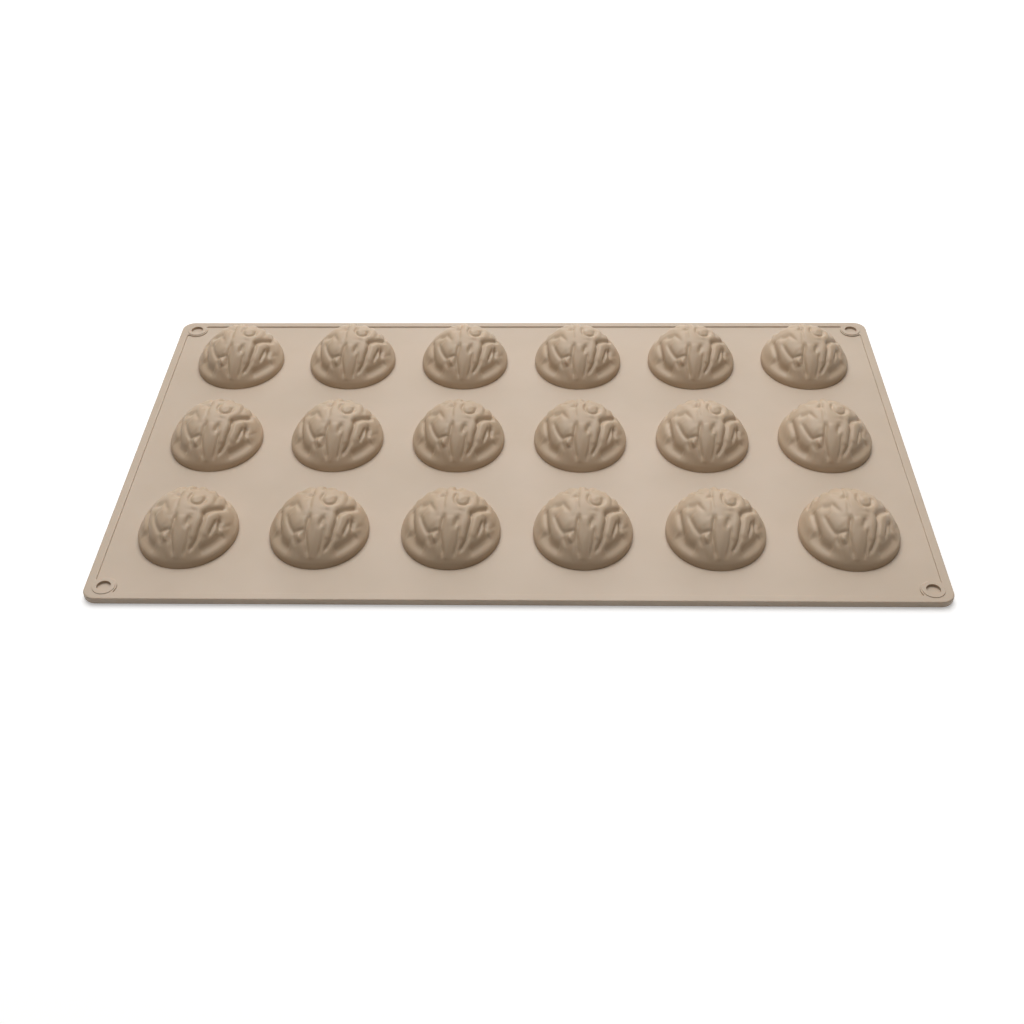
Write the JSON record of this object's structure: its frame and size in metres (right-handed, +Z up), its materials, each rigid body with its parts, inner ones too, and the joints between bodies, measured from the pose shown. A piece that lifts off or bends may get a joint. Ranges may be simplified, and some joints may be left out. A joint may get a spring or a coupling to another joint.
{
  "type": "silicone walnut mold",
  "caption": "Flat rectangular silicone mould with rows of half-walnut cups, a raised border and a round socket in each corner, for casting or baking nut-shaped sweets.",
  "frame": {"origin": "middle of the underside of the sheet, on the surface that the mould lies on", "axes": "+X along the sheet to the right end seen from the front, +Y across it to the back row, +Z up through the cups"},
  "size_m": [0.3, 0.175, 0.0163],
  "materials": {
    "silicone": "satin"
  },
  "bodies": {
    "root": {"web_front_row": "silicone", "web_middle_row": "silicone", "web_back_row": "silicone", "border_left": "silicone", "border_right": "silicone", "border_front": "silicone", "border_back": "silicone", "corner_pad_front_left": "silicone", "corner_pad_front_right": "silicone", "corner_pad_back_left": "silicone", "corner_pad_back_right": "silicone", "walnut_cup_front_1": "silicone", "walnut_cup_front_2": "silicone", "walnut_cup_front_3": "silicone", "walnut_cup_front_4": "silicone", "walnut_cup_front_5": "silicone", "walnut_cup_front_6": "silicone", "walnut_cup_middle_1": "silicone", "walnut_cup_middle_2": "silicone", "walnut_cup_middle_3": "silicone", "walnut_cup_middle_4": "silicone", "walnut_cup_middle_5": "silicone", "walnut_cup_middle_6": "silicone", "walnut_cup_back_1": "silicone", "walnut_cup_back_2": "silicone", "walnut_cup_back_3": "silicone", "walnut_cup_back_4": "silicone", "walnut_cup_back_5": "silicone", "walnut_cup_back_6": "silicone"}
  },
  "joints": []
}
